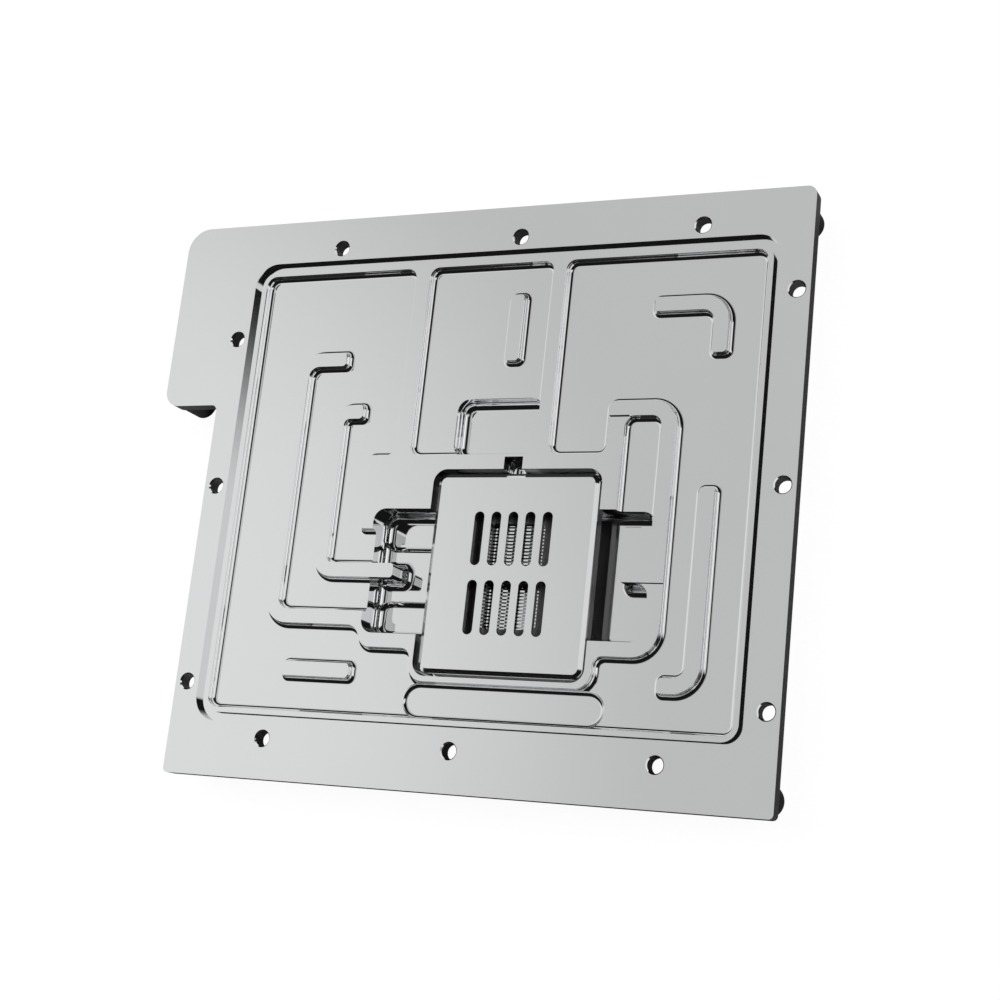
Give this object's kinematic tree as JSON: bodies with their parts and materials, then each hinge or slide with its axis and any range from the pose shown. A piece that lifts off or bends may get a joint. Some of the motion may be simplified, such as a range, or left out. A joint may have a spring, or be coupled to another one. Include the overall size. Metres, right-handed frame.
{
  "type": "gpu water block",
  "caption": "Nickel-plated cold plate of a graphics card water block, with milled coolant channels, fins under a slotted jet plate, and board standoffs.",
  "frame": {"origin": "centre of the flat pad on the chip side that rests on the graphics chip", "axes": "+Z out of the channel side, away from the chip; +X away from the tab; +Y towards the edge that carries the tab"},
  "size_m": [0.1364, 0.1148, 0.01],
  "materials": {
    "plated_copper": "satin nickel plating on milled copper",
    "jet_metal": "satin nickel plating, brushed flat",
    "plated_brass": "bright nickel plating on turned brass"
  },
  "bodies": {
    "root": {"cold_plate": "plated_copper", "jet_block": "jet_metal", "jet_sheet": "jet_metal", "standoff_1": "plated_brass", "standoff_2": "plated_brass", "standoff_3": "plated_brass", "standoff_4": "plated_brass", "standoff_5": "plated_brass", "standoff_6": "plated_brass", "standoff_7": "plated_brass", "standoff_8": "plated_brass"}
  },
  "joints": []
}
